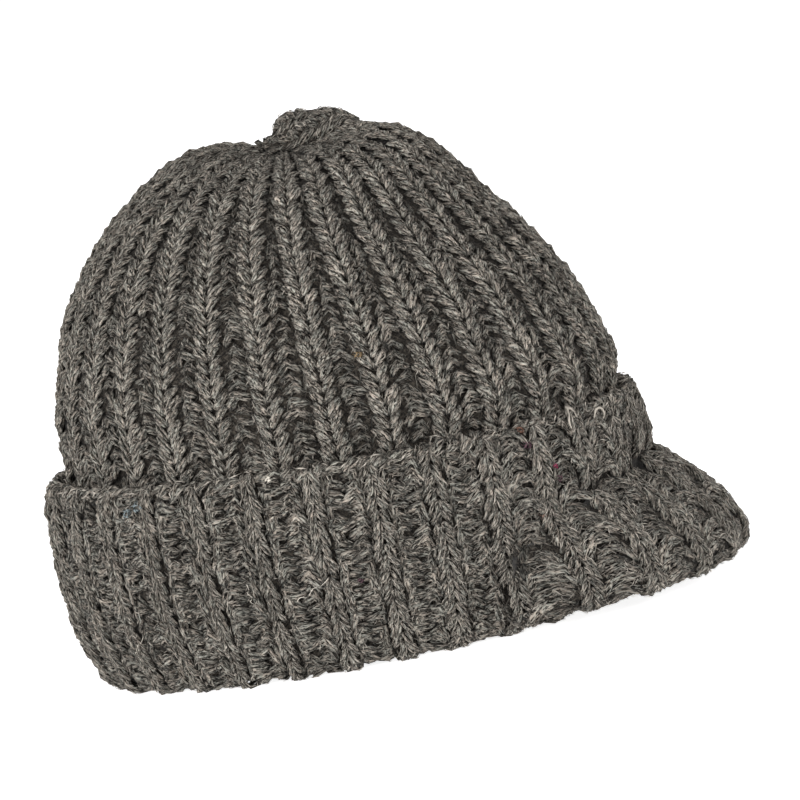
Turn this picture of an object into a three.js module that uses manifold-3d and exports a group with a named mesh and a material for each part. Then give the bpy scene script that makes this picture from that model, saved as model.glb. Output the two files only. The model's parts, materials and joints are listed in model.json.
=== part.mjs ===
// A ribbed wool beanie with a turned-up cuff and a short knitted peak, standing on its rim.
// Millimetres, +Z up, +X to the front. The pieces are made about the crown's middle, and the whole is
// then moved so that the origin lies on the rim plane under the middle of the hat's box.
import * as THREE from 'three';
import Module from 'manifold-3d';

const wasm = await Module();
wasm.setup();

// Driving sizes
const crownLength = 204; // over the ribs, front to back, where the cuff grips
const crownWidth = 179; // over the ribs, side to side
const crownHeight = 184; // rim plane to the highest rib
const groundThickness = 3.6; // knitted wall between the ribs
const crownRibHeight = 3;
const foldHeight = 6.6; // thickness of the fold that the hat stands on
const foldRound = 2.2;
const cuffHeight = 73; // rim plane to the cuff's top edge, at the side
const cuffSlope = 3.5; // how much lower than that its top edge lies at the front
const cuffThickness = 6.6;
const cuffRibHeight = 1.7;
const peakReach = 35; // how far the peak stands out at the centre front
const peakEndReach = 2.6;
const peakRootHeight = 50; // rim plane to the crease over the peak, at the centre front
const peakEdgeHeight = 3; // rim plane to the peak's lower edge
const peakThickness = 8.5;
const peakRibHeight = 1.4;
const gatherLength = 28; // the bunched rib ends on top
const gatherWidth = 23;
const gatherHeight = 14;
const gatherForward = 15; // from the middle of the crown to the middle of the bunch
const clearance = 0.4;

// Counts and angles
const ribCount = 32;
const peakHalfAngle = THREE.MathUtils.degToRad(61);
const ribPitch = (2 * Math.PI) / ribCount;
const crownRibPhase = 0.5; // a valley of the crown faces the front
const cuffRibPhase = 0; // turned up, the same fabric has a rib there

// Crown rings from the bottom edge to the top. Rise is the height at the side as a share of the crown's.
// Front, back and side are shares of its half length and half width. Ridge is how much higher the ring
// is at the front and back than at the side, and lean how much higher at the back than at the front,
// both shares of the crown's height. Ribs is a share of the ribs' height.
const crownRings = [
  { rise: 0.038, front: 0.925, back: 0.950, side: 0.925, ridge: 0, lean: 0, ribs: 1.0 },
  { rise: 0.141, front: 0.970, back: 1.005, side: 0.970, ridge: 0, lean: 0, ribs: 1.0 },
  { rise: 0.272, front: 0.990, back: 1.010, side: 0.996, ridge: 0, lean: 0, ribs: 1.0 },
  { rise: 0.380, front: 1.000, back: 0.996, side: 1.0, ridge: 0, lean: 0, ribs: 1.0 },
  { rise: 0.440, front: 1.020, back: 0.985, side: 0.998, ridge: 0, lean: 0, ribs: 1.0 },
  { rise: 0.527, front: 0.975, back: 0.982, side: 0.985, ridge: 0, lean: 0, ribs: 1.0 },
  { rise: 0.625, front: 0.905, back: 0.938, side: 0.940, ridge: 0, lean: 0, ribs: 1.0 },
  { rise: 0.723, front: 0.798, back: 0.876, side: 0.855, ridge: 0, lean: 0, ribs: 1.0 },
  { rise: 0.799, front: 0.702, back: 0.786, side: 0.755, ridge: 0, lean: 0, ribs: 0.95 },
  { rise: 0.864, front: 0.615, back: 0.688, side: 0.640, ridge: 0, lean: 0, ribs: 0.9 },
  { rise: 0.912, front: 0.535, back: 0.572, side: 0.530, ridge: 0.007, lean: 0, ribs: 0.8 },
  { rise: 0.938, front: 0.420, back: 0.450, side: 0.400, ridge: 0.026, lean: 0.001, ribs: 0.7 },
  { rise: 0.951, front: 0.290, back: 0.350, side: 0.280, ridge: 0.033, lean: 0.005, ribs: 0.55 },
  { rise: 0.958, front: 0.200, back: 0.240, side: 0.190, ridge: 0.031, lean: 0.010, ribs: 0.4 },
  { rise: 0.962, front: 0.120, back: 0.110, side: 0.100, ridge: 0.016, lean: 0.007, ribs: 0.2 },
];
const meetingHeightShare = 0.967; // where the ribs meet, as a share of the crown's height
const meetingForwardShare = 0.02; // and forward of the middle, as a share of the half length
const innerRings = [0, 2, 5, 7, 9, 11]; // rows of that table that the smooth inside follows

// Sections across one rib: places along the pitch, from the middle of the rib, and height shares
const crownRib = [
  { at: -0.40, height: 0 },
  { at: -0.26, height: 1 },
  { at: 0.26, height: 1 },
  { at: 0.40, height: 0 },
];
const cuffRib = [
  { at: -0.32, height: 0 },
  { at: -0.17, height: 1 },
  { at: 0.17, height: 1 },
  { at: 0.32, height: 0 },
];

// Section of the cuff's outside, from the flat foot up. Up is a share of the way from the fold to the
// top edge, out is a share of the cuff's thickness, and ribs is a share of the cuff ribs' height.
const cuffOutside = [
  { up: 0.0, out: 0.9, ribs: 0.6 },
  { up: 0.22, out: 1.0, ribs: 1.0 },
  { up: 0.48, out: 1.04, ribs: 1.0 },
  { up: 0.76, out: 1.02, ribs: 1.0 },
  { up: 0.94, out: 0.96, ribs: 0.9 },
  { up: 1.0, out: 0.6, ribs: 0.5 },
];
const cuffInsideTop = 0.965; // where the rounding ends on the inner face, as a share of the same way

// The crease over the peak, from the centre front to the ends: at is a share of the half angle, and
// height is a share of the way from the peak's edge to the crease at the centre.
const peakCrease = [
  { at: 0.0, height: 1.0 },
  { at: 0.34, height: 0.93 },
  { at: 0.56, height: 0.90 },
  { at: 0.68, height: 0.84 },
  { at: 0.80, height: 0.69 },
  { at: 0.90, height: 0.55 },
  { at: 0.97, height: 0.42 },
  { at: 1.0, height: 0.26 },
];
// Section of the peak's top: out is a share of its reach, down is a share of its fall
const peakTop = [
  { out: 0.0, down: 0.0 },
  { out: 0.28, down: 0.20 },
  { out: 0.58, down: 0.44 },
  { out: 0.86, down: 0.68 },
  { out: 0.98, down: 0.82 },
  { out: 0.97, down: 0.94 },
];
const peakEdgeBulge = 0.86; // how far out the lowest line of the edge lies, as a share of the reach
const peakFullness = 2.6; // how square the outline of the peak is

const wool = { color: '#5c5752', roughness: 0.95, metalness: 0 };

const halfLength = crownLength / 2;
const halfWidth = crownWidth / 2;

// Value of one column of a table at a place given by another column, on straight lines between rows
function tableValue(table, along, place, column) {
  const last = table.length - 1;
  let row = 0;
  while (row < last - 1 && place > table[row + 1][along]) row += 1;
  const from = table[row];
  const to = table[row + 1];
  const share = (place - from[along]) / (to[along] - from[along]);
  return THREE.MathUtils.lerp(from[column], to[column], THREE.MathUtils.clamp(share, 0, 1));
}

// Angles of the mesh's columns: the places of one rib section, repeated round the hat
function ribColumns(section, phase, first, last) {
  const columns = [];
  for (let rib = first; rib <= last; rib += 1) {
    for (const { at, height } of section) {
      columns.push({ angle: (rib + phase + at) * ribPitch, height });
    }
  }
  return columns;
}

// Point on the ring of a crown row, at the top of the ribs
function ringPoint(row, angle) {
  const towardTop = THREE.MathUtils.smoothstep(row.rise, 0.8, 1);
  const middle = meetingForwardShare * halfLength * towardTop;
  const front = row.front * halfLength - middle;
  const back = row.back * halfLength + middle;
  const reach = Math.cos(angle) > 0 ? front : back;
  return new THREE.Vector3(
    middle + reach * Math.cos(angle),
    row.side * halfWidth * Math.sin(angle),
    (row.rise + row.ridge * Math.cos(angle) ** 2 - row.lean * Math.cos(angle)) * crownHeight,
  );
}

function gatherTop() {
  return new THREE.Vector3(meetingForwardShare * halfLength, 0, meetingHeightShare * crownHeight);
}

// Outward normal of the crown at a row and an angle, from its neighbours
function crownNormal(rowIndex, angle) {
  const step = 0.01;
  const row = crownRings[rowIndex];
  const below = ringPoint(crownRings[Math.max(rowIndex - 1, 0)], angle);
  const above = rowIndex + 1 < crownRings.length
    ? ringPoint(crownRings[rowIndex + 1], angle)
    : gatherTop();
  const around = ringPoint(row, angle + step).sub(ringPoint(row, angle - step));
  return around.cross(above.sub(below)).normalize();
}

function crownPoint(rowIndex, angle, depth) {
  const point = ringPoint(crownRings[rowIndex], angle);
  return point.addScaledVector(crownNormal(rowIndex, angle), -depth);
}

// Point on the crown's ribs at a height, with the level outward normal there
function crownWallAt(angle, height) {
  const rise = height / crownHeight;
  const row = { rise };
  for (const column of ['front', 'back', 'side', 'ridge', 'lean']) {
    row[column] = tableValue(crownRings, 'rise', rise, column);
  }
  const step = 0.01;
  const point = ringPoint(row, angle);
  const around = ringPoint(row, angle + step).sub(ringPoint(row, angle - step));
  const outward = new THREE.Vector3(around.y, -around.x, 0).normalize();
  return { point, outward };
}

// Closed surface through rings of points. Each end is a pole point, or a flat cap, or the last ring
// joins the first.
function loftGeometry(rings, { startPole, endPole, joinEnds = false, capEnds = false }) {
  const size = rings[0].length;
  const points = rings.flat();
  const triangles = [];
  const strip = (lower, upper) => {
    for (let k = 0; k < size; k += 1) {
      const next = (k + 1) % size;
      triangles.push(lower + k, lower + next, upper + next, lower + k, upper + next, upper + k);
    }
  };
  for (let ring = 0; ring + 1 < rings.length; ring += 1) strip(ring * size, (ring + 1) * size);
  const lastRing = (rings.length - 1) * size;
  if (joinEnds) strip(lastRing, 0);
  const closeEnd = (pole, ring, turned) => {
    points.push(pole);
    for (let k = 0; k < size; k += 1) {
      const pair = [ring + k, ring + ((k + 1) % size)];
      if (turned) pair.reverse();
      triangles.push(points.length - 1, ...pair);
    }
  };
  const centre = (ring) => ring
    .reduce((sum, point) => sum.add(point), new THREE.Vector3())
    .divideScalar(size);
  if (startPole || capEnds) closeEnd(startPole ?? centre(rings[0]), 0, true);
  if (endPole || capEnds) closeEnd(endPole ?? centre(rings[rings.length - 1]), lastRing, false);
  const geometry = new THREE.BufferGeometry().setFromPoints(points);
  geometry.setIndex(triangles);
  geometry.computeVertexNormals();
  return geometry;
}

// Crown: a ribbed shell, gathered at the top and open at the bottom
function crownOutside(depth) {
  const columns = ribColumns(crownRib, crownRibPhase, 0, ribCount - 1);
  return crownRings.map((row, index) => columns.map(({ angle, height }) => (
    crownPoint(index, angle, depth + crownRibHeight * row.ribs * (1 - height))
  )));
}

function crownGeometry() {
  const columns = ribColumns(crownRib, crownRibPhase, 0, ribCount - 1);
  const inside = innerRings.map((index) => columns.map(({ angle }) => (
    crownPoint(index, angle, crownRibHeight + groundThickness)
  )));
  const outside = crownOutside(0);
  for (const point of [...inside[0], ...outside[0]]) point.z = foldHeight + clearance;
  const top = gatherTop();
  const innerTop = new THREE.Vector3(top.x, top.y, top.z - crownRibHeight - groundThickness);
  return loftGeometry([...inside.reverse(), ...outside], { startPole: innerTop, endPole: top });
}

// Cuff: the fabric turned up over the crown, with the fold that runs under the crown's edge
function cuffTopHeight(angle) {
  return cuffHeight - cuffSlope * Math.cos(angle);
}

function cuffHeightAt(angle, up) {
  return THREE.MathUtils.lerp(foldHeight, cuffTopHeight(angle), up);
}

function cuffPoint(angle, height, out) {
  const { point, outward } = crownWallAt(angle, height);
  return point.addScaledVector(outward, clearance + out);
}

function cuffGeometry() {
  const columns = ribColumns(cuffRib, cuffRibPhase, 0, ribCount - 1);
  const wallDepth = crownRibHeight + groundThickness;
  const rimOut = cuffOutside[0].out * cuffThickness;
  const ring = (heightAt, out, ribs = 0) => columns.map(({ angle, height }) => {
    const drop = cuffRibHeight * ribs * (1 - height);
    return cuffPoint(angle, heightAt(angle), out - drop);
  });
  const footRing = (level, out, ribs = 0) => {
    const points = ring(() => foldHeight, out, ribs);
    for (const point of points) point.z = level;
    return points;
  };
  const foot = [
    footRing(foldHeight, -wallDepth - clearance),
    footRing(foldRound, -wallDepth - clearance),
    footRing(0, foldRound - wallDepth),
    footRing(0, rimOut - 1.6 * foldRound, 0.3),
    footRing(foldRound, rimOut - 0.4 * foldRound, 0.5),
  ];
  const outside = cuffOutside.map(({ up, out, ribs }) => (
    ring((angle) => cuffHeightAt(angle, up), out * cuffThickness, ribs)
  ));
  const insideTop = ring((angle) => cuffHeightAt(angle, cuffInsideTop), 0);
  const insideLevels = crownRings
    .map(({ rise }) => rise * crownHeight)
    .filter((level) => level > foldHeight + foldRound && level < cuffTopHeight(0) - cuffThickness);
  const inside = insideLevels.reverse().map((level) => ring(() => level, 0));
  const ledge = footRing(foldHeight, 0);
  return loftGeometry([...foot, ...outside, insideTop, ...inside, ledge], { joinEnds: true });
}

// Peak: a padded crescent that leaves the cuff at the crease and slopes down to the rim
function creaseHeight(angle) {
  const at = Math.abs(angle) / peakHalfAngle;
  const share = tableValue(peakCrease, 'at', Math.min(at, 1), 'height');
  return peakEdgeHeight + share * (peakRootHeight - peakEdgeHeight);
}

function reachAt(angle) {
  const at = Math.min(Math.abs(angle) / peakHalfAngle, 1);
  return peakEndReach + (peakReach - peakEndReach) * (1 - at ** peakFullness);
}

function peakSection(angle, ribShare) {
  const reach = reachAt(angle);
  const fall = creaseHeight(angle) - peakEdgeHeight;
  const drop = peakRibHeight * (1 - ribShare);
  const upper = peakTop.map(({ out, down }) => (
    new THREE.Vector2(out * reach, creaseHeight(angle) - down * fall)
  ));
  const outline = [...upper, new THREE.Vector2(peakEdgeBulge * reach, peakEdgeHeight)];
  const normalAt = (index) => {
    const before = outline[Math.max(index - 1, 0)];
    const after = outline[Math.min(index + 1, outline.length - 1)];
    const along = after.clone().sub(before).normalize();
    return new THREE.Vector2(-along.y, along.x);
  };
  const ribbed = outline.map((point, index) => {
    const depth = index === 0 || index === outline.length - 1 ? 0 : Math.min(drop, reach / 4);
    return point.clone().addScaledVector(normalAt(index), -depth);
  });
  const leastStep = peakThickness / 14;
  const under = [5, 3, 2, 1, 0].map((index, order) => {
    const point = outline[index].clone().addScaledVector(normalAt(index), -peakThickness);
    const lowest = peakEdgeHeight + order * leastStep;
    return new THREE.Vector2(Math.max(point.x, 0), Math.max(point.y, lowest));
  });
  return { ribbed, under };
}

function peakGeometry() {
  const ribsOneSide = Math.floor(peakHalfAngle / ribPitch);
  const columns = ribColumns(cuffRib, cuffRibPhase, -ribsOneSide, ribsOneSide)
    .filter(({ angle }) => Math.abs(angle) < peakHalfAngle);
  columns.unshift({ angle: -peakHalfAngle, height: 0 });
  columns.push({ angle: peakHalfAngle, height: 0 });
  const rootOut = cuffThickness * cuffOutside[2].out;
  const sections = columns.map(({ angle, height }) => {
    const { ribbed, under } = peakSection(angle, height);
    return [...ribbed, ...under].map(({ x, y }) => cuffPoint(angle, y, rootOut + clearance + x));
  });
  return loftGeometry(sections, { capEnds: true });
}

// Gather: the last rib ends, drawn together and twisted into a low bunch on the crown
function gatherGeometry() {
  const lobes = 5;
  const columnsPerLobe = 4;
  const layers = 7;
  const twist = 0.9;
  const lobeDepth = 0.13;
  const base = new THREE.Vector3(gatherForward, 0, crownHeight - gatherHeight / 7);
  const rings = [];
  for (let layer = 1; layer < layers; layer += 1) {
    const climb = (layer / layers) * Math.PI;
    const ring = [];
    for (let k = 0; k < lobes * columnsPerLobe; k += 1) {
      const angle = (k / (lobes * columnsPerLobe)) * 2 * Math.PI;
      const lobe = 1 + lobeDepth * Math.cos(lobes * (angle + twist * Math.cos(climb)));
      const round = Math.sin(climb) * lobe;
      ring.push(new THREE.Vector3(
        base.x + (gatherLength / 2) * round * Math.cos(angle),
        base.y + (gatherWidth / 2) * round * Math.sin(angle),
        base.z - (gatherHeight / 2) * Math.cos(climb),
      ));
    }
    rings.push(ring);
  }
  const startPole = base.clone().setZ(base.z - gatherHeight / 2);
  const endPole = base.clone().setZ(base.z + gatherHeight / 2);
  return loftGeometry(rings, { startPole, endPole });
}

// A three.js geometry as a solid for cutting, and back
function solidOf(geometry) {
  return new wasm.Manifold(new wasm.Mesh({
    numProp: 3,
    vertProperties: new Float32Array(geometry.attributes.position.array),
    triVerts: new Uint32Array(geometry.index.array),
  }));
}

function geometryOf(solid) {
  const { vertProperties, triVerts } = solid.getMesh();
  const geometry = new THREE.BufferGeometry();
  geometry.setAttribute('position', new THREE.Float32BufferAttribute(vertProperties, 3));
  geometry.setIndex([...triVerts]);
  geometry.computeVertexNormals();
  return geometry;
}

// The bunch sits on the crown's ribs, so their shape, a clearance larger, is cut from it
function seatedGather() {
  const outside = crownOutside(-clearance);
  const startPole = new THREE.Vector3(0, 0, outside[0][0].z);
  const endPole = gatherTop().setZ(gatherTop().z + clearance);
  const crownSolid = solidOf(loftGeometry(outside, { startPole, endPole }));
  return geometryOf(solidOf(gatherGeometry()).subtract(crownSolid));
}

function woolMesh(name, geometry) {
  const mesh = new THREE.Mesh(geometry, new THREE.MeshStandardMaterial(wool));
  mesh.name = name;
  return mesh;
}

const beanie = new THREE.Group();
beanie.add(
  woolMesh('crown', crownGeometry()),
  woolMesh('cuff', cuffGeometry()),
  woolMesh('peak', peakGeometry()),
  woolMesh('top_gather', seatedGather()),
);
const wholeBox = new THREE.Box3().setFromObject(beanie);
beanie.position.x = -(wholeBox.min.x + wholeBox.max.x) / 2;

export default beanie;
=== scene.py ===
# Chunky ribbed wool beanie with a turned-up cuff and a short knitted peak, on a pale studio floor
import json
import random
from math import cos, exp, pi, radians, remainder, sin

import bpy
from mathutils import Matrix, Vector

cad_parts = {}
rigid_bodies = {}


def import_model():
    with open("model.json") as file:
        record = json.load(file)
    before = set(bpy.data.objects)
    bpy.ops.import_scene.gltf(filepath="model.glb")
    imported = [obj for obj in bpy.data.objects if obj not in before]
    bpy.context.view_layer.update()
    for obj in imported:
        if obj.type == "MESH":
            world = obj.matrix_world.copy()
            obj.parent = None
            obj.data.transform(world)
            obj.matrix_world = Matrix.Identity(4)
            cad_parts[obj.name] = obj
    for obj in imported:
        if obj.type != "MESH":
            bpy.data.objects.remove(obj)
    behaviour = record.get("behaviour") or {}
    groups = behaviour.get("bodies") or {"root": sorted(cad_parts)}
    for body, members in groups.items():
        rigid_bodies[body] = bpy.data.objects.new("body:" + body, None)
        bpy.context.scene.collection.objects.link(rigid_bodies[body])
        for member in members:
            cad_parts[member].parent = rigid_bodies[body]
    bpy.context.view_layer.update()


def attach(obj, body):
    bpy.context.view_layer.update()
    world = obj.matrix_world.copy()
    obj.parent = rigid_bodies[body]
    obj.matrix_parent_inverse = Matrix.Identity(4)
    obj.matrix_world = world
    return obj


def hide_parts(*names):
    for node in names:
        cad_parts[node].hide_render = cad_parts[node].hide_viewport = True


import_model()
print("frame loaded")

mm = 0.001
scene = bpy.context.scene


def hexToLinear(colour):  # "#rrggbb" in sRGB to linear RGBA
    parts = [int(colour[i:i + 2], 16) / 255 for i in (1, 3, 5)]
    return [c / 12.92 if c <= 0.04045 else ((c + 0.055) / 1.055) ** 2.4 for c in parts] + [1.0]


def mix(a, b, share):
    return a + (b - a) * share


def clamp(value, low=0.0, high=1.0):
    return max(low, min(high, value))


def smoothStep(value, low, high):
    t = clamp((value - low) / (high - low))
    return t * t * (3 - 2 * t)


def tableAt(table, place):  # value at a place, on straight lines between (place, value) pairs
    for (a, low), (b, high) in zip(table, table[1:]):
        if place <= b:
            return mix(low, high, clamp((place - a) / (b - a)))
    return table[-1][1]


# Shape of the hat, from the part's own sizes
hat = {
    "middle": -13.64 * mm,  # x of the crown's middle
    "halfLength": 102 * mm, "halfWidth": 89.5 * mm, "height": 184 * mm,
    "ribs": 32, "wall": 6.6 * mm, "foldHeight": 6.6 * mm, "cuffHeight": 73 * mm, "cuffSlope": 3.5 * mm,
    "meetingHeight": 0.967, "meetingForward": 0.02,
}
ribAngle = 2 * pi / hat["ribs"]
crownRings = [  # rise, front, back, side, ridge, lean: shares of the height, half length and half width
    (0.000, 0.915, 0.940, 0.915, 0, 0),
    (0.038, 0.925, 0.950, 0.925, 0, 0),
    (0.141, 0.970, 1.005, 0.970, 0, 0),
    (0.272, 0.990, 1.010, 0.996, 0, 0),
    (0.380, 1.000, 0.996, 1.000, 0, 0),
    (0.440, 1.020, 0.985, 0.998, 0, 0),
    (0.527, 0.975, 0.982, 0.985, 0, 0),
    (0.625, 0.905, 0.938, 0.940, 0, 0),
    (0.723, 0.798, 0.876, 0.855, 0, 0),
    (0.799, 0.702, 0.786, 0.755, 0, 0),
    (0.864, 0.615, 0.688, 0.640, 0, 0),
    (0.912, 0.535, 0.572, 0.530, 0.007, 0),
    (0.938, 0.420, 0.450, 0.400, 0.026, 0.001),
    (0.951, 0.290, 0.350, 0.280, 0.033, 0.005),
    (0.958, 0.200, 0.240, 0.190, 0.031, 0.010),
    (0.962, 0.120, 0.110, 0.100, 0.016, 0.007),
]


def ringPoint(row, angle):
    rise, front, back, side, ridge, lean = row
    middle = hat["meetingForward"] * hat["halfLength"] * smoothStep(rise, 0.8, 1)
    ahead = cos(angle)
    reach = front * hat["halfLength"] - middle if ahead > 0 else back * hat["halfLength"] + middle
    return Vector((hat["middle"] + middle + reach * ahead, side * hat["halfWidth"] * sin(angle),
                   (rise + ridge * ahead * ahead - lean * ahead) * hat["height"]))


def crownWall(angle, height):  # point on the crown's ribs at a height, with its level outward direction
    rise = clamp(height / hat["height"], 0.038, 0.9)
    i = 0
    while rise > crownRings[i + 1][0]:
        i += 1
    share = (rise - crownRings[i][0]) / (crownRings[i + 1][0] - crownRings[i][0])
    row = [mix(a, b, share) for a, b in zip(crownRings[i], crownRings[i + 1])]
    around = ringPoint(row, angle + 0.01) - ringPoint(row, angle - 0.01)
    point = ringPoint(row, angle)
    point.z = height
    return point, Vector((around.y, -around.x, 0)).normalized()


def throughPoints(points, steps):  # dense points on the Catmull-Rom curve through the points
    last = len(points) - 1
    dense = []
    for k in range(last * steps + 1):
        i = min(k // steps, last - 1)
        t = k / steps - i
        p0, p1 = points[max(i - 1, 0)], points[i]
        p2, p3 = points[i + 1], points[min(i + 2, last)]
        dense.append((p1 * 2 + (p2 - p0) * t + (p0 * 2 - p1 * 5 + p2 * 4 - p3) * t * t
                      + (p1 * 3 - p0 - p2 * 3 + p3) * t ** 3) / 2)
    return dense


def evenlyAlong(line, starts):  # points of a dense line at lengths from its first point
    lengths = [0.0]
    for a, b in zip(line, line[1:]):
        lengths.append(lengths[-1] + (b - a).length)
    found = []
    i = 0
    for length in starts:
        while i < len(line) - 2 and lengths[i + 1] < length:
            i += 1
        share = (length - lengths[i]) / max(lengths[i + 1] - lengths[i], 1e-9)
        found.append(line[i] + (line[i + 1] - line[i]) * share)
    return found


def lineLength(line):
    return sum((b - a).length for a, b in zip(line, line[1:]))


# Surfaces that the stitches are laid on. A chart counts columns of ribs across and stitch rows up.
crownChart = {"node": "crown", "columns": (-1, 33), "rows": (0, 54), "steps": (136, 108),
              "pitch": 18.7 * mm, "row": 4.7 * mm}
insideChart = {"node": "crown", "columns": (-1, 33), "rows": (0, 42), "steps": (136, 84),
               "pitch": 17.5 * mm, "row": 5.6 * mm}
cuffChart = {"node": "cuff", "columns": (-1, 33), "rows": (-5, 20), "steps": (136, 100),
             "pitch": 19.8 * mm, "row": 4.1 * mm}
peakChart = {"node": "peak", "columns": (-5.6, 5.6), "rows": (-9, 17), "steps": (56, 104),
             "pitch": 22 * mm, "row": 4.1 * mm}
gatherChart = {"node": "top_gather", "columns": (-1, 6), "rows": (0, 9), "steps": (42, 45),
               "pitch": 10.5 * mm, "row": 4.4 * mm}
slots = {"crown": "crown_knit", "cuff": "cuff_knit", "peak": "peak_knit", "top_gather": "gather_knit"}


def crownStrip(column, rows, turned=1):
    angle = column * ribAngle * turned
    line = [ringPoint(row, angle) for row in crownRings]
    line.append(Vector((hat["middle"] + hat["meetingForward"] * hat["halfLength"], 0,
                        hat["meetingHeight"] * hat["height"])))
    dense = throughPoints(line, 10)
    total = lineLength(dense)
    return evenlyAlong(dense, [total * clamp(row, 0, 0.9995) for row in rows])


cuffProfile = [  # way out from the crown's wall and height, in mm, at the middle of the yarn
    (-5.4, 17), (-5.2, 8), (-4.2, 3.6), (-1.6, 1.7), (1.4, 1.7), (3.9, 3.4), (5.0, 8), (5.5, 21), (5.7, 38),
    (5.6, 57), (5.1, 66), (3.9, 70.3), (1.9, 71.2), (0.2, 67),
]


def cuffStrip(column, rows):
    angle = column * ribAngle
    top = hat["cuffHeight"] - hat["cuffSlope"] * cos(angle)
    stretch = (top - hat["foldHeight"]) / (hat["cuffHeight"] - hat["foldHeight"])
    line = []
    for out, height in cuffProfile:
        level = height * mm
        if level > hat["foldHeight"]:
            level = hat["foldHeight"] + (level - hat["foldHeight"]) * stretch
        point, outward = crownWall(angle, level)
        above = level / mm - creaseHeight(angle)  # the cuff swells out over the peak's crease
        swell = 1.3 * smoothStep(above, -2, 3) * (1 - smoothStep(above, 6, 16))
        fromFront = abs(remainder(angle, 2 * pi))
        swell *= 1 - smoothStep(fromFront, 0.9, 1.12)
        beside = fromFront / peak["halfAngle"]
        flare = 5.0 * (1 - smoothStep(beside, 1.0, 1.22)) * (1 - smoothStep(level / mm, 8, 30))
        line.append(point + outward * (out + (swell + flare if out > 2 else 0)) * mm)
    dense = throughPoints(line, 8)
    under = lineLength(dense[:3 * 8 + 5])  # length up to the lowest point, where row 0 is
    over = lineLength(dense[3 * 8 + 4:])
    return evenlyAlong(dense, [under + (row / 5 * under if row < 0 else row / 20 * over) for row in rows])


peak = {
    "halfAngle": radians(61), "reach": 35, "endReach": 2.6, "rootHeight": 50, "edgeHeight": 3,
    "rootOut": 7.66, "fullness": 2.6,
}
peakCrease = [(0, 1), (0.34, 0.93), (0.56, 0.90), (0.68, 0.84), (0.80, 0.69), (0.90, 0.55), (0.97, 0.42), (1, 0.26)]


def creaseHeight(angle):
    share = tableAt(peakCrease, abs(remainder(angle, 2 * pi)) / peak["halfAngle"])
    return mix(peak["edgeHeight"], peak["rootHeight"], share)


def peakOutline(angle):  # way out and height, in mm, down the top, round the edge and back underneath
    at = min(abs(angle) / peak["halfAngle"], 1)
    reach = mix(peak["endReach"], peak["reach"], 1 - at ** peak["fullness"])
    crease = creaseHeight(angle)
    fall = crease - peak["edgeHeight"]
    top = [(-4.0, -0.02), (-1.6, 0.04), (0.24, 0.20), (0.58, 0.44), (0.86, 0.68), (0.97, 0.82), (0.96, 0.94)]
    outline = [(out * reach if out > 0 else out, crease - down * fall) for out, down in top]
    outline.append((0.86 * reach, peak["edgeHeight"] + 1.0))
    outline.append((0.70 * reach, peak["edgeHeight"] + 2.6))
    for out, down in top[4:1:-1]:
        outline.append((max(out * reach - 5.5, 0), max(crease - down * fall - 7.0, peak["edgeHeight"] + 3)))
    return outline


def peakStrip(column, rows):
    angle = column * ribAngle
    line = []
    for out, height in peakOutline(angle):
        point, outward = crownWall(angle, height * mm)
        line.append(point + outward * (peak["rootOut"] + out) * mm)
    line.reverse()  # from underneath, round the edge and up to the crease
    dense = throughPoints(line, 8)
    under = lineLength(dense[:4 * 8 + 1])  # length up to the edge, where row 0 is
    return evenlyAlong(dense, [under + row * peakChart["row"] for row in rows])


gather = {"forward": 14.8 * mm, "height": 180.0 * mm, "halfLength": 16 * mm, "halfWidth": 11 * mm,
          "rise": 8.6 * mm, "sink": 8.0 * mm, "twist": -2.2, "lobe": 0.07}


def gatherStrip(column, rows):  # ribs wind round a low bunch that lies front to back
    points = []
    for row in rows:
        along = clamp(row / 9, 0.004, 0.996)
        turn = column / 5 * 2 * pi + gather["twist"] * along - 0.4
        waist = 1 - 0.1 * exp(-((along - 0.46) / 0.1) ** 2)
        lobe = 1 + gather["lobe"] * cos(2 * pi * column)
        girth = (1 - abs(2 * along - 1) ** 2.7) ** 0.5 * waist * lobe
        height = gather["rise"] if sin(turn) > 0 else gather["sink"]
        flare = 1 + 0.45 * clamp(-sin(turn))
        points.append(Vector((
            hat["middle"] + gather["forward"] + gather["halfLength"] * flare * (2 * along - 1),
            gather["halfWidth"] * girth * flare * cos(turn),
            gather["height"] + mix(1.8, -2.4, along) * mm + height * girth * sin(turn))))
    return points


def stripOf(chart, column, rows):
    if chart is crownChart:
        return crownStrip(column, [row / 54 for row in rows])
    if chart is insideChart:
        return crownStrip(column, [0.03 + row / 42 * 0.95 for row in rows], turned=-1)
    if chart is cuffChart:
        return cuffStrip(column, rows)
    if chart is peakChart:
        return peakStrip(column, rows)
    return gatherStrip(column, rows)


def newObject(name, mesh):
    made = bpy.data.objects.new(name, mesh)
    scene.collection.objects.link(made)
    return made


def newMesh(name, points, faces=()):
    mesh = bpy.data.meshes.new(name)
    mesh.from_pydata(points, [], faces)
    return mesh


def keepVectors(mesh, name, vectors):
    store = mesh.attributes.new(name, "FLOAT_VECTOR", "POINT")
    for k, value in enumerate(vectors):
        store.data[k].vector = value


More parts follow.
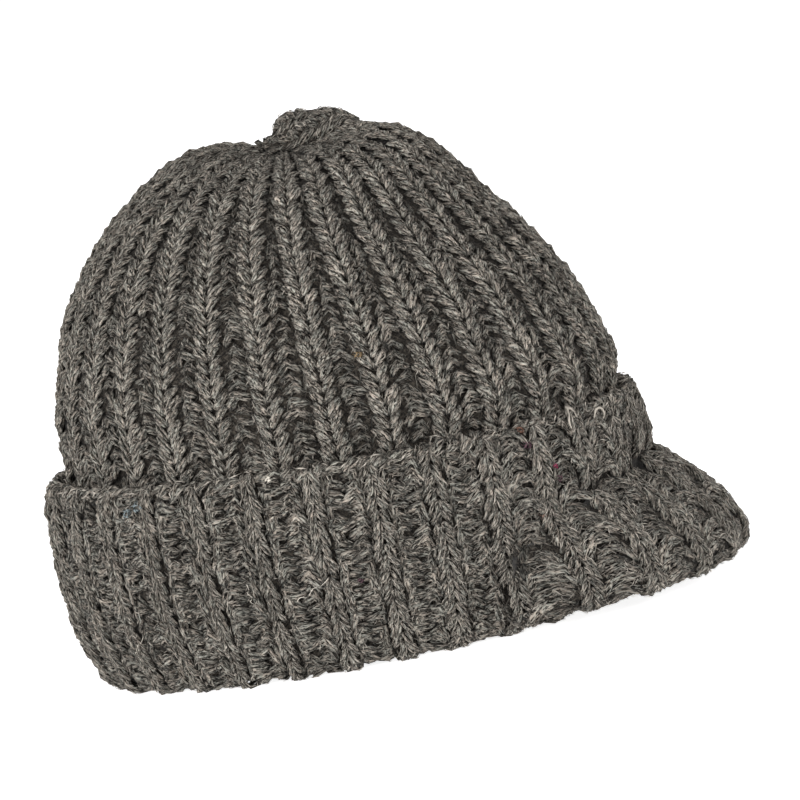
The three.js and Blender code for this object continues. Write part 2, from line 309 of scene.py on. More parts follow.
def chartSurface(name, chart):  # grid of the surface with its chart as UV and its outward direction
    across, up = chart["steps"]
    firstColumn, lastColumn = chart["columns"]
    firstRow, lastRow = chart["rows"]
    rows = [mix(firstRow, lastRow, j / up) for j in range(up + 1)]
    points = [stripOf(chart, mix(firstColumn, lastColumn, i / across), rows) for i in range(across + 1)]
    outward = []
    for i in range(across + 1):
        for j in range(up + 1):
            sideways = points[min(i + 1, across)][j] - points[max(i - 1, 0)][j]
            upward = points[i][min(j + 1, up)] - points[i][max(j - 1, 0)]
            outward.append(sideways.cross(upward).normalized())
    if chart is insideChart:  # the inside lies a wall's thickness in from the ribs
        for i in range(across + 1):
            for j in range(up + 1):
                points[i][j] = points[i][j] + outward[i * (up + 1) + j] * (hat["wall"] - 1.6 * mm)
    faces = []
    for i in range(across):
        for j in range(up):
            a = i * (up + 1) + j
            faces.append((a, a + up + 1, a + up + 2, a + 1))
    mesh = newMesh(name, [p for strip in points for p in strip], faces)
    chartMap = mesh.uv_layers.new(name="chart")
    for loop in mesh.loops:
        i, j = divmod(loop.vertex_index, up + 1)
        chartMap.data[loop.index].uv = (i / across, j / up)
    keepVectors(mesh, "outward", outward)
    chart["points"], chart["outward"] = points, outward
    chart["surface"] = newObject(name, mesh)


def gridPlace(chart, column, row):
    across, up = chart["steps"]
    i = (column - chart["columns"][0]) / (chart["columns"][1] - chart["columns"][0]) * across
    j = (row - chart["rows"][0]) / (chart["rows"][1] - chart["rows"][0]) * up
    return int(clamp(round(i), 0, across)), int(clamp(round(j), 0, up))


def realPitch(chart, column, row):  # true distance between two ribs at a place on the chart
    i, j = gridPlace(chart, column, row)
    across = chart["steps"][0]
    low, high = max(i - 2, 0), min(i + 2, across)
    step = (chart["columns"][1] - chart["columns"][0]) / across
    return (chart["points"][high][j] - chart["points"][low][j]).length / ((high - low) * step)


def realRow(chart, column, row):  # true distance between two stitch rows there
    i, j = gridPlace(chart, column, row)
    up = chart["steps"][1]
    low, high = max(j - 2, 0), min(j + 2, up)
    step = (chart["rows"][1] - chart["rows"][0]) / up
    return (chart["points"][i][high] - chart["points"][i][low]).length / ((high - low) * step)


fibreStep = 31.0  # between the fibre numbers of two lengths of yarn


def sidesOf(ahead):  # the way across a path on the chart and the way out from it
    side = ahead.cross(Vector((0, 0, 1))).normalized()
    return side, side.cross(ahead)


# One stitch: closed lengths of yarn, plump in the middle, in metres on the chart
def yarn(paths, sides, rings):
    points, faces, fibre = [], [], []
    for number, (path, girths) in enumerate(paths):
        middle = throughPoints([Vector(p) * mm for p in path], 12)
        spread = throughPoints([Vector((w, h, 0)) * mm for w, h in girths], 12)
        last = len(middle) - 1
        first = len(points)
        twist = 0.16 if number % 2 else 0.22  # radians of ply twist a millimetre
        points.append(middle[0])
        fibre.append((number * fibreStep, 0, 0))
        along = 0.0
        for ring in range(rings):
            at = round(last * (ring + 0.55) / (rings + 0.1))
            before, after = middle[max(at - 2, 0)], middle[min(at + 2, last)]
            ahead = (after - before).normalized()
            side, front = sidesOf(ahead)
            along = sum((middle[k + 1] - middle[k]).length for k in range(at)) / mm
            for k in range(sides):
                turn = 2 * pi * (k + 0.5 * (ring % 2)) / sides
                wide, thick = spread[at].x * cos(turn), spread[at].y * sin(turn)
                points.append(middle[at] + side * wide + front * thick)
                around = turn + twist * along
                girth = (spread[at].x + spread[at].y) / 2 / mm
                fibre.append((number * fibreStep + along, girth * cos(around), girth * sin(around)))
        points.append(middle[last])
        fibre.append((number * fibreStep + along + 0.8, 0, 0))
        end = len(points) - 1
        for k in range(sides):
            after = (k + 1) % sides
            faces.append((first, first + 1 + k, first + 1 + after))
            faces.append((end, end - sides + after, end - sides + k))
        for ring in range(rings - 1):
            low, high = first + 1 + ring * sides, first + 1 + (ring + 1) * sides
            odd = ring % 2
            for k in range(sides):
                after = (k + 1) % sides
                if odd:
                    faces.append((low + k, high + after, low + after))
                    faces.append((low + k, high + k, high + after))
                else:
                    faces.append((low + k, high + k, low + after))
                    faces.append((low + after, high + k, high + after))
    return points, faces, fibre


def stitchObject(name, paths, sides=7, rings=5):
    points, faces, fibre = yarn(paths, sides, rings)
    mesh = newMesh(name, points, faces)
    mesh.shade_smooth()
    keepVectors(mesh, "fibre", fibre)
    return newObject(name, mesh)


def plied(paths, count, seed, close=0.0):
    # each yarn becomes a few loose plies that wind round its middle and wander a little
    pick = random.Random(seed)
    plies = []
    for path, girths in paths:
        middle = [Vector(point) for point in path]
        last = len(middle) - 1
        first = pick.uniform(0, 2 * pi)
        for k in range(count):
            turn, along, line = first + 2 * pi * (k + pick.uniform(-0.15, 0.15)) / count, 0.0, []
            for i, point in enumerate(middle):
                ahead = (middle[min(i + 1, last)] - middle[max(i - 1, 0)]).normalized()
                side, front = sidesOf(ahead)
                if i:
                    along += (point - middle[i - 1]).length
                around = turn + ply["twist"] * along
                inner = 0 < i < last  # the ends lie close together, behind the next stitch
                wide, thick = (ply["spread"] * (1 - close) * girth * (1 if inner else 0.4) for girth in girths[i])
                loose = Vector([pick.uniform(-1, 1) * ply["wander"] * inner for axis in range(3)])
                line.append(tuple(point + side * wide * cos(around) + front * thick * sin(around) + loose))
            thin = ply["girth"] * (1 + close)
            plies.append((line, [(w * thin, h * thin) for w, h in girths]))
    return plies


def strands(paths, count, loose, seed):
    # single fibres that lie on the yarn and cross it a little; a share of them lies in any direction
    pick = random.Random(seed)
    lines = []
    for path, girths in paths:
        middle = [Vector(point) for point in path]
        last = len(middle) - 1
        length = sum((middle[i + 1] - middle[i]).length for i in range(last))
        for k in range(count):
            part = pick.uniform(2.0, 4.6) / length
            start, turn = pick.uniform(0.02, 1.0 - part), pick.uniform(0.05, 0.95) * pi
            end, onward = start + part, turn + pick.uniform(-1.1, 1.1)
            lift, line = pick.uniform(0.0, 0.7), []
            for share in (0.0, 0.5, 1.0):
                at = clamp(mix(start, end, share), 0, 1) * last
                i = min(int(at), last - 1)
                point = middle[i].lerp(middle[i + 1], at - i)
                ahead = (middle[i + 1] - middle[i]).normalized()
                side, front = sidesOf(ahead)
                wide, thick = (mix(girths[i][axis], girths[i + 1][axis], at - i) for axis in (0, 1))
                around, out = mix(turn, onward, share), 1.0 + lift * (share - 0.5) ** 2 + 0.1 * share * (1 - share)
                line.append(tuple(point + (side * wide * cos(around) + front * thick * sin(around)) * out))
            thin = pick.uniform(0.1, 0.18)
            if pick.random() < loose:
                heading, half = pick.uniform(0, pi), pick.uniform(1.1, 2.1)
                reach = Vector((half * cos(heading), half * sin(heading), -0.4))
                centre = Vector(line[1])
                line = [tuple(centre + reach * Vector(way)) for way in ((-1, -1, 1), (0, 0, 0), (1, 1, 1))]
            lines.append((line, [(thin * 0.7, thin * 0.7), (thin, thin), (thin * 0.6, thin * 0.6)]))
    return lines


def tangle(count, reach, height, thin, seed):  # short fibres that cross in a small heap
    pick = random.Random(seed)
    lines = []
    for k in range(count):
        turn, half = pick.uniform(0, pi), reach * pick.uniform(0.6, 1.1)
        x, y, z = (pick.uniform(-0.45, 0.45) * size for size in (reach, reach, height))
        along, across = half * cos(turn), half * sin(turn)
        lines.append(([(x - along, y - across, z), (x, y, z + height), (x + along, y + across, z)],
                      [(thin * 0.6, thin * 0.6), (thin, thin), (thin * 0.6, thin * 0.6)]))
    return lines


def mirrored(paths):
    return paths + [([(-x, y, z) for x, y, z in path], girths) for path, girths in paths]


ply = {"count": 4, "kinds": 4, "twist": 0.11, "spread": 0.6, "girth": 0.46, "wander": 0.38}
stitches = {
    # leg of a plain stitch: starts low and narrow at the middle, leans out and dips behind the next one
    "plain": mirrored([([(0.1, -1.9, -0.4), (1.2, 0.0, 0.9), (2.9, 2.2, 0.8), (4.3, 4.2, -0.3), (5.1, 5.6, -1.8)],
                        [(0.8, 0.9), (1.6, 1.4), (2.0, 1.6), (1.8, 1.3), (1.1, 0.9)])]),
    # the same seen upside down on the turned-up cuff
    "turned": mirrored([([(0.1, 1.8, -0.5), (1.0, 0.0, 0.9), (2.3, -2.1, 0.8), (3.4, -4.0, -0.3), (4.0, -5.2, -1.6)],
                         [(0.8, 0.9), (1.5, 1.3), (1.85, 1.5), (1.7, 1.3), (1.0, 0.9)])]),
    # low loop between two ribs of the crown
    "purl": [([(-4.0, -2.6, -1.2), (-2.4, -0.6, 0.2), (0, 0.9, 0.6), (2.4, -0.6, 0.2), (4.0, -2.6, -1.2)],
              [(1.0, 0.9), (1.9, 1.3), (2.2, 1.5), (1.9, 1.3), (1.0, 0.9)])],
    # arch that spans a panel of the cuff
    "arch": [([(-6.8, -6.2, -1.4), (-5.0, -2.8, 0.1), (-2.9, 0.2, 0.6), (0, 1.0, 0.2), (2.9, 0.4, 0.6),
               (5.0, -2.6, 0.1), (6.8, -6.2, -1.4)],
              [(0.9, 0.8), (1.8, 1.1), (2.0, 1.3), (1.8, 1.3), (2.0, 1.3), (1.8, 1.1), (0.9, 0.8)])],
    # slanted loop of the cast-on edge
    "edge": [([(-4.0, -1.8, -0.6), (-1.6, -0.6, 0.5), (1.0, 0.7, 0.6), (3.6, 1.6, -0.6)],
              [(0.9, 0.9), (1.8, 1.5), (1.9, 1.6), (0.9, 0.9)])],
}


def addNode(tree, kind, settings=(), inputs=()):  # inputs that are sockets are linked, others are set
    node = tree.nodes.new(kind)
    for name, value in dict(settings).items():
        setattr(node, name, value)
    for name, value in dict(inputs).items():
        if isinstance(value, bpy.types.NodeSocket):
            tree.links.new(value, node.inputs[name])
        else:
            node.inputs[name].default_value = value
    return node


def namedTree(name, sockets):  # new tree and what it is given
    tree = bpy.data.node_groups.new(name, "GeometryNodeTree")
    for label, kind in [("Geometry", "Geometry"), *sockets, ("Seed", "Int"), ("Material", "Material")]:
        tree.interface.new_socket(name=label, in_out="INPUT", socket_type="NodeSocket" + kind)
    tree.interface.new_socket(name="Geometry", in_out="OUTPUT", socket_type="NodeSocketGeometry")
    return tree, addNode(tree, "NodeGroupInput").outputs


def finishTree(tree, mesh, place, given):  # puts the mesh in its place, flat on the table at the foot, and dresses it
    rested = addNode(tree, "ShaderNodeVectorMath", {"operation": "MAXIMUM"}, {0: place, 1: (-1.0, -1.0, 0.1 * mm)})
    placed = addNode(tree, "GeometryNodeSetPosition", inputs={"Geometry": mesh, "Position": rested.outputs[0]})
    dressed = addNode(tree, "GeometryNodeSetMaterial", inputs={
        "Geometry": placed.outputs[0], "Material": given["Material"]})
    addNode(tree, "NodeGroupOutput", inputs={"Geometry": dressed.outputs[0]})
    return tree


def stitchTree():  # lays a stitch at every place of the chart, then bends the whole chart onto the surface
    tree, given = namedTree("Knitted stitches", [
        ("Surface", "Object"), ("Stitches", "Collection"), ("Chart start", "Vector"), ("Chart size", "Vector"),
        ("Random shift", "Float"), ("Random turn", "Float"), ("Random size", "Float"), ("Lift", "Float")])
    surface = addNode(tree, "GeometryNodeObjectInfo", inputs={"Object": given["Surface"]})
    kinds = addNode(tree, "GeometryNodeCollectionInfo", inputs={
        "Collection": given["Stitches"], "Separate Children": True, "Reset Children": True})
    kind = addNode(tree, "FunctionNodeRandomValue", {"data_type": "INT"}, {
        4: 0, 5: ply["kinds"] - 1, "Seed": given["Seed"]})
    eitherWay = []
    for label in ("Random shift", "Random turn"):
        least = addNode(tree, "ShaderNodeMath", {"operation": "MULTIPLY"}, {0: given[label], 1: -1.0})
        eitherWay.append(addNode(tree, "FunctionNodeRandomValue", {"data_type": "FLOAT_VECTOR"}, {
            0: least.outputs[0], 1: given[label], "Seed": given["Seed"]}))
    shift, turn = eitherWay
    places = addNode(tree, "GeometryNodeSetPosition", inputs={
        "Geometry": given["Geometry"], "Offset": shift.outputs[0]})
    heading = addNode(tree, "GeometryNodeInputNamedAttribute", {"data_type": "FLOAT"}, {"Name": "heading"})
    headed = addNode(tree, "ShaderNodeCombineXYZ", inputs={2: heading.outputs[0]})
    turned = addNode(tree, "ShaderNodeVectorMath", {"operation": "ADD"}, {0: turn.outputs[0], 1: headed.outputs[0]})
    fit = addNode(tree, "GeometryNodeInputNamedAttribute", {"data_type": "FLOAT_VECTOR"}, {"Name": "fit"})
    small = addNode(tree, "ShaderNodeMath", {"operation": "SUBTRACT"}, {0: 1.0, 1: given["Random size"]})
    large = addNode(tree, "ShaderNodeMath", {"operation": "ADD"}, {0: 1.0, 1: given["Random size"]})
    size = addNode(tree, "FunctionNodeRandomValue", {"data_type": "FLOAT"}, {
        2: small.outputs[0], 3: large.outputs[0], "Seed": given["Seed"]})
    scale = addNode(tree, "ShaderNodeVectorMath", {"operation": "SCALE"}, {
        0: fit.outputs[0], "Scale": size.outputs[1]})
    laid = addNode(tree, "GeometryNodeInstanceOnPoints", inputs={
        "Points": places.outputs[0], "Instance": kinds.outputs[0], "Pick Instance": True,
        "Instance Index": kind.outputs[2],
        "Rotation": turned.outputs[0], "Scale": scale.outputs[0]})
    tone = addNode(tree, "FunctionNodeRandomValue", {"data_type": "FLOAT"}, {
        2: 0.0, 3: 1.0, "Seed": given["Seed"]})
    toned = addNode(tree, "GeometryNodeStoreNamedAttribute", {"data_type": "FLOAT", "domain": "INSTANCE"}, {
        "Geometry": laid.outputs[0], "Name": "tone", "Value": tone.outputs[1]})
    real = addNode(tree, "GeometryNodeRealizeInstances", inputs={"Geometry": toned.outputs[0]})
    position = addNode(tree, "GeometryNodeInputPosition")
    height = addNode(tree, "ShaderNodeSeparateXYZ", inputs={0: position.outputs[0]})
    levelled = addNode(tree, "GeometryNodeStoreNamedAttribute", {"data_type": "FLOAT", "domain": "POINT"}, {
        "Geometry": real.outputs[0], "Name": "level", "Value": height.outputs[2]})
    fromStart = addNode(tree, "ShaderNodeVectorMath", {"operation": "SUBTRACT"}, {
        0: position.outputs[0], 1: given["Chart start"]})
    share = addNode(tree, "ShaderNodeVectorMath", {"operation": "DIVIDE"}, {
        0: fromStart.outputs[0], 1: given["Chart size"]})
    above = addNode(tree, "ShaderNodeVectorMath", {"operation": "MAXIMUM"}, {
        0: share.outputs[0], 1: (0.0005, 0.0005, 0.0005)})
    inside = addNode(tree, "ShaderNodeVectorMath", {"operation": "MINIMUM"}, {
        0: above.outputs[0], 1: (0.9995, 0.9995, 0.9995)})
    chartMap = addNode(tree, "GeometryNodeInputNamedAttribute", {"data_type": "FLOAT_VECTOR"}, {"Name": "chart"})
    outward = addNode(tree, "GeometryNodeInputNamedAttribute", {"data_type": "FLOAT_VECTOR"}, {"Name": "outward"})
    where, facing = (addNode(tree, "GeometryNodeSampleUVSurface", {"data_type": "FLOAT_VECTOR"}, {
        "Mesh": surface.outputs["Geometry"], "Value": value.outputs[0],
        "Source UV Map": chartMap.outputs[0], "Sample UV": inside.outputs[0]}) for value in (position, outward))
    unit = addNode(tree, "ShaderNodeVectorMath", {"operation": "NORMALIZE"}, {0: facing.outputs[0]})
    raised = addNode(tree, "ShaderNodeMath", {"operation": "ADD"}, {0: height.outputs[2], 1: given["Lift"]})
    proud = addNode(tree, "ShaderNodeVectorMath", {"operation": "SCALE"}, {
        0: unit.outputs[0], "Scale": raised.outputs[0]})
    onSurface = addNode(tree, "ShaderNodeVectorMath", {"operation": "ADD"}, {
        0: where.outputs[0], 1: proud.outputs[0]})
    return finishTree(tree, levelled.outputs[0], onSurface.outputs[0], given)


def hairTree():  # scatters loose hairs over the yarn
    tree, given = namedTree("Loose hairs", [("Hair", "Object"), ("Hairs a square metre", "Float"), ("Lean", "Float"),
                                            ("Shortest", "Float"), ("Longest", "Float")])
    hair = addNode(tree, "GeometryNodeObjectInfo", inputs={"Object": given["Hair"]})
    level = addNode(tree, "GeometryNodeInputNamedAttribute", {"data_type": "FLOAT"}, {"Name": "level"})
    upper = addNode(tree, "FunctionNodeCompare", {"data_type": "FLOAT", "operation": "GREATER_THAN"}, {
        0: level.outputs[0], 1: -0.4 * mm})
    roots = addNode(tree, "GeometryNodeDistributePointsOnFaces", inputs={
        "Mesh": given["Geometry"], "Selection": upper.outputs[0], "Density": given["Hairs a square metre"],
        "Seed": given["Seed"]})
    unlean = addNode(tree, "ShaderNodeMath", {"operation": "MULTIPLY"}, {0: given["Lean"], 1: -1.0})
    least = addNode(tree, "ShaderNodeCombineXYZ", inputs={0: unlean.outputs[0], 1: unlean.outputs[0], 2: 0.0})
    most = addNode(tree, "ShaderNodeCombineXYZ", inputs={0: given["Lean"], 1: given["Lean"], 2: 6.283})
    turn = addNode(tree, "FunctionNodeRandomValue", {"data_type": "FLOAT_VECTOR"}, {
        0: least.outputs[0], 1: most.outputs[0], "Seed": given["Seed"]})
    facing = addNode(tree, "FunctionNodeRotateRotation", {"rotation_space": "LOCAL"}, {
        "Rotation": roots.outputs["Rotation"], "Rotate By": turn.outputs[0]})
    length = addNode(tree, "FunctionNodeRandomValue", {"data_type": "FLOAT"}, {
        2: given["Shortest"], 3: given["Longest"], "Seed": given["Seed"]})
    grown = addNode(tree, "GeometryNodeInstanceOnPoints", inputs={
        "Points": roots.outputs["Points"], "Instance": hair.outputs["Geometry"],
        "Rotation": facing.outputs[0], "Scale": length.outputs[1]})
    tone = addNode(tree, "FunctionNodeRandomValue", {"data_type": "FLOAT"}, {
        2: 0.0, 3: 1.0, "Seed": given["Seed"]})
    toned = addNode(tree, "GeometryNodeStoreNamedAttribute", {"data_type": "FLOAT", "domain": "INSTANCE"}, {
        "Geometry": grown.outputs[0], "Name": "tone", "Value": tone.outputs[1]})
    real = addNode(tree, "GeometryNodeRealizeInstances", inputs={"Geometry": toned.outputs[0]})
    place = addNode(tree, "GeometryNodeInputPosition")
    return finishTree(tree, real.outputs[0], place.outputs[0], given)


def grow(name, start, tree, values):  # runs a tree on a mesh and keeps the result as a plain mesh
    carrier = newObject(name + ".start", start)
    modifier = carrier.modifiers.new("grow", "NODES")
    modifier.node_group = tree
    for item in tree.interface.items_tree:
        if item.in_out == "INPUT" and item.name in values:
            modifier[item.identifier] = values[item.name]
    graph = bpy.context.evaluated_depsgraph_get()
    made = bpy.data.meshes.new_from_object(carrier.evaluated_get(graph), depsgraph=graph)
    made.name = name
    bpy.data.objects.remove(carrier)
    if not made.materials:
        made.materials.append(values["Material"])
    print(name, len(made.polygons), "faces")
    return newObject(name, made)


def lay(name, chart, stitch, places, material, seed, lift, uneven):
    shift, turn, size = uneven
    mesh = newMesh(name + ".places", [(c * chart["pitch"], r * chart["row"], z * mm) for c, r, z, *_ in places])
    keepVectors(mesh, "fit", [scale for _, _, _, scale, *_ in places])
    heading = mesh.attributes.new("heading", "FLOAT", "POINT")
    for k, (_, _, _, _, *turned) in enumerate(places):
        heading.data[k].value = turned[0] if turned else 0.0
    (firstColumn, lastColumn), (firstRow, lastRow) = chart["columns"], chart["rows"]
    made = grow(name, mesh, knitting, {
        "Surface": chart["surface"], "Stitches": stitch,
        "Chart start": (firstColumn * chart["pitch"], firstRow * chart["row"], -1),
        "Chart size": ((lastColumn - firstColumn) * chart["pitch"], (lastRow - firstRow) * chart["row"], 2),
        "Random shift": shift * mm, "Random turn": turn, "Random size": size, "Lift": lift * mm,
        "Seed": seed, "Material": material})
    pieces.append((made, slots[chart["node"]], chart["node"]))


# Materials
wool = {
    "dark": "#0a0807", "middle": "#3a3631", "light": "#a7a198", "filament": "#d0cac1",
    "filamentShare": 0.75, "warm": "#fff8f3", "cool": "#f4faf9",  # the last two tint single strands
    # the ground colours are near black: wool deep in the knit, darkened as painted shade
    "ground": "#0e0c0a", "groundFibre": "#3f3a34", "darkHair": "#2c2824", "paleHair": "#c0b8ad",
    "darkTo": 0.47, "middleAt": 0.535, "lightFrom": 0.63, "warmTo": 0.38, "coolFrom": 0.62,
    "strandWidth": 0.52, "strandLength": 2.4, "crossing": 0.2,  # in mm, radians
    # the depth tones paint shade: yarn that lies low in the knit is darkened
    "patches": 70.0, "patchTone": (0.84, 1.14), "ownTone": (0.9, 1.1), "paintedDepthShade": (0.31, 1.05),
    "highest": 1.6, "roughness": 0.95,
}


def newMaterial(name):
    material = bpy.data.materials.new(name)
    material.use_nodes = True
    material.node_tree.nodes.clear()
    return material, material.node_tree


def setStops(ramp, *stops):  # places from 0 to 1 with their colours
    elements = ramp.color_ramp.elements
    elements[0].position, elements[1].position = stops[0][0], stops[-1][0]
    for place, colour in stops[1:-1]:
        elements.new(place)
    for element, (place, colour) in zip(elements, stops):
        element.color = colour


def yarnMaterial(name, shade=1.0, deepest=-2.6):
    # Heathered sheep's wool, spun and plied, washed and matt: light and dark strands lie along the yarn
    material, tree = newMaterial(name)
    fibre = addNode(tree, "ShaderNodeAttribute", {"attribute_name": "fibre"})
    tone = addNode(tree, "ShaderNodeAttribute", {"attribute_name": "tone"})
    level = addNode(tree, "ShaderNodeAttribute", {"attribute_name": "level"})
    apart = addNode(tree, "ShaderNodeVectorMath", {"operation": "SCALE"}, {
        0: (71.0, 37.0, 53.0), "Scale": tone.outputs["Fac"]})
    own = addNode(tree, "ShaderNodeVectorMath", {"operation": "ADD"}, {
        0: fibre.outputs["Vector"], 1: apart.outputs[0]})
    width, length, crossing = wool["strandWidth"], wool["strandLength"], wool["crossing"]

    def drawnNoise(start, turn, longer, wider, distortion):
        place = addNode(tree, "ShaderNodeMapping", {"vector_type": "TEXTURE"}, {
            "Vector": own.outputs[0], "Location": start, "Rotation": (0.0, turn, turn),
            "Scale": (length * longer, width * wider, width * wider)})
        return addNode(tree, "ShaderNodeTexNoise", inputs={
            "Vector": place.outputs[0], "Scale": 1.0, "Detail": 1.5, "Roughness": 0.5, "Distortion": distortion})

    along = drawnNoise((0.0, 0.0, 0.0), crossing, 1.0, 1.0, 0.8)
    across = drawnNoise((5.0, 8.0, 2.0), -crossing, 1.0, 1.1, 0.8)
    both = addNode(tree, "ShaderNodeMath", {"operation": "MAXIMUM"}, {
        0: along.outputs["Fac"], 1: across.outputs["Fac"]})
    heather = addNode(tree, "ShaderNodeValToRGB", inputs={"Fac": both.outputs[0]})
    setStops(heather, (wool["darkTo"], hexToLinear(wool["dark"])), (wool["middleAt"], hexToLinear(wool["middle"])),
             (wool["lightFrom"], hexToLinear(wool["light"])))
    # single pale filaments, thin lines that wander along the strands
    wandering = drawnNoise((9.0, 3.0, 5.0), 0.05, 1.3, 1.0, 0.4)
    filaments = addNode(tree, "ShaderNodeValToRGB", inputs={"Fac": wandering.outputs["Fac"]})
    shown = wool["filamentShare"]
    setStops(filaments, (0.46, (0, 0, 0, 1)), (0.50, (shown, shown, shown, 1)), (0.54, (0, 0, 0, 1)))
    haired = addNode(tree, "ShaderNodeMix", {"data_type": "RGBA"}, {
        0: filaments.outputs["Color"], 6: heather.outputs["Color"], 7: hexToLinear(wool["filament"])})
    # strands of browner and of cooler grey wool
    dyed = drawnNoise((2.0, 6.0, 9.0), 0.1, 1.4, 1.8, 0.5)
    dyes = addNode(tree, "ShaderNodeValToRGB", inputs={"Fac": dyed.outputs["Fac"]})
    setStops(dyes, (wool["warmTo"], hexToLinear(wool["warm"])), (wool["coolFrom"], hexToLinear(wool["cool"])))
    tinted = addNode(tree, "ShaderNodeVectorMath", {"operation": "MULTIPLY"}, {
        0: haired.outputs[2], 1: dyes.outputs["Color"]})
    place = addNode(tree, "ShaderNodeTexCoord")
    patches = addNode(tree, "ShaderNodeTexNoise", inputs={
        "Vector": place.outputs["Object"], "Scale": wool["patches"], "Detail": 2.0, "Roughness": 0.6})
    patchTone = addNode(tree, "ShaderNodeMapRange", inputs={
        "Value": patches.outputs["Fac"], "From Min": 0.3, "From Max": 0.7,
        "To Min": wool["patchTone"][0], "To Max": wool["patchTone"][1]})
    ownTone = addNode(tree, "ShaderNodeMapRange", inputs={
        "Value": tone.outputs["Fac"], "To Min": wool["ownTone"][0] * shade, "To Max": wool["ownTone"][1] * shade})
    paintedDepthShade = addNode(tree, "ShaderNodeMapRange", inputs={  # painted shade: darker where the yarn dips behind its neighbours
        "Value": level.outputs["Fac"], "From Min": deepest * mm, "From Max": wool["highest"] * mm,
        "To Min": wool["paintedDepthShade"][0], "To Max": wool["paintedDepthShade"][1]})
    tones = addNode(tree, "ShaderNodeMath", {"operation": "MULTIPLY"}, {
        0: patchTone.outputs[0], 1: ownTone.outputs[0]})
    allTones = addNode(tree, "ShaderNodeMath", {"operation": "MULTIPLY"}, {
        0: tones.outputs[0], 1: paintedDepthShade.outputs[0]})
    shaded = addNode(tree, "ShaderNodeVectorMath", {"operation": "SCALE"}, {
        0: tinted.outputs[0], "Scale": allTones.outputs[0]})
    raised = addNode(tree, "ShaderNodeMath", {"operation": "ADD"}, {
        0: both.outputs[0], 1: filaments.outputs["Color"]})
    bump = addNode(tree, "ShaderNodeBump", inputs={
        "Height": raised.outputs[0], "Strength": 1.0, "Distance": 0.5 * mm})
    surface = addNode(tree, "ShaderNodeBsdfPrincipled", inputs={
        "Base Color": shaded.outputs[0], "Roughness": wool["roughness"], "Specular IOR Level": 0.12,
        "Sheen Weight": 0.04, "Sheen Roughness": 0.4, "Normal": bump.outputs[0]})
    addNode(tree, "ShaderNodeOutputMaterial", inputs={"Surface": surface.outputs[0]})
    return material


def groundMaterial():
    # The depth between the yarns: wool in painted shade, nearly black with faint fibres
    material, tree = newMaterial("wool ground in painted shade")
    place = addNode(tree, "ShaderNodeTexCoord")
    thin, long = wool["strandWidth"] * mm, wool["strandLength"] * mm
    felt = None
    for turn, stretch in ((0.5, (thin, thin, long)), (-0.6, (long, long, thin)), (0.9, (long, thin, long))):
        drawn = addNode(tree, "ShaderNodeMapping", {"vector_type": "TEXTURE"}, {
            "Vector": place.outputs["Object"], "Rotation": (turn, turn, 0.0), "Scale": stretch})
        noise = addNode(tree, "ShaderNodeTexNoise", inputs={
            "Vector": drawn.outputs[0], "Scale": 1.0, "Detail": 1.5, "Distortion": 0.8})
        felt = noise if felt is None else addNode(tree, "ShaderNodeMath", {"operation": "MAXIMUM"}, {
            0: felt.outputs[0], 1: noise.outputs["Fac"]})
    ramp = addNode(tree, "ShaderNodeValToRGB", inputs={"Fac": felt.outputs[0]})
    setStops(ramp, (0.52, hexToLinear(wool["ground"])), (0.68, hexToLinear(wool["groundFibre"])))
    bump = addNode(tree, "ShaderNodeBump", inputs={
        "Height": felt.outputs[0], "Strength": 0.8, "Distance": 0.5 * mm})
    surface = addNode(tree, "ShaderNodeBsdfPrincipled", inputs={
        "Base Color": ramp.outputs["Color"], "Roughness": wool["roughness"], "Specular IOR Level": 0.15,
        "Sheen Weight": 0.1, "Normal": bump.outputs[0]})
    addNode(tree, "ShaderNodeOutputMaterial", inputs={"Surface": surface.outputs[0]})
    return material


def hairMaterial():
    # Single loose wool hairs, from grey-brown to cream, with painted shade that darkens them deep between the yarns
    material, tree = newMaterial("loose wool hair")
    tone = addNode(tree, "ShaderNodeAttribute", {"attribute_name": "tone"})
    fibre = addNode(tree, "ShaderNodeAttribute", {"attribute_name": "fibre"})
    along = addNode(tree, "ShaderNodeSeparateXYZ", inputs={0: fibre.outputs["Vector"]})
    number = addNode(tree, "ShaderNodeMath", {"operation": "SNAP"}, {0: along.outputs[0], 1: fibreStep})
    mixed = addNode(tree, "ShaderNodeMath", {"operation": "MULTIPLY_ADD"}, {
        0: number.outputs[0], 1: 0.618, 2: tone.outputs["Fac"]})
    own = addNode(tree, "ShaderNodeMath", {"operation": "FRACT"}, {0: mixed.outputs[0]})
    ramp = addNode(tree, "ShaderNodeValToRGB", inputs={"Fac": own.outputs[0]})
    setStops(ramp, (0.0, hexToLinear(wool["darkHair"])), (1.0, hexToLinear(wool["paleHair"])))
    # painted shade: the lower the hair lies, the darker it is
    level = addNode(tree, "ShaderNodeAttribute", {"attribute_name": "level"})
    paintedDepthShade = addNode(tree, "ShaderNodeMapRange", inputs={
        "Value": level.outputs["Fac"], "From Min": -2.8 * mm, "From Max": 1.8 * mm, "To Min": 0.14, "To Max": 1.0})
    shaded = addNode(tree, "ShaderNodeVectorMath", {"operation": "SCALE"}, {
        0: ramp.outputs["Color"], "Scale": paintedDepthShade.outputs[0]})
    surface = addNode(tree, "ShaderNodeBsdfPrincipled", inputs={
        "Base Color": shaded.outputs[0], "Roughness": 0.8, "Specular IOR Level": 0.2})
    addNode(tree, "ShaderNodeOutputMaterial", inputs={"Surface": surface.outputs[0]})
    return material


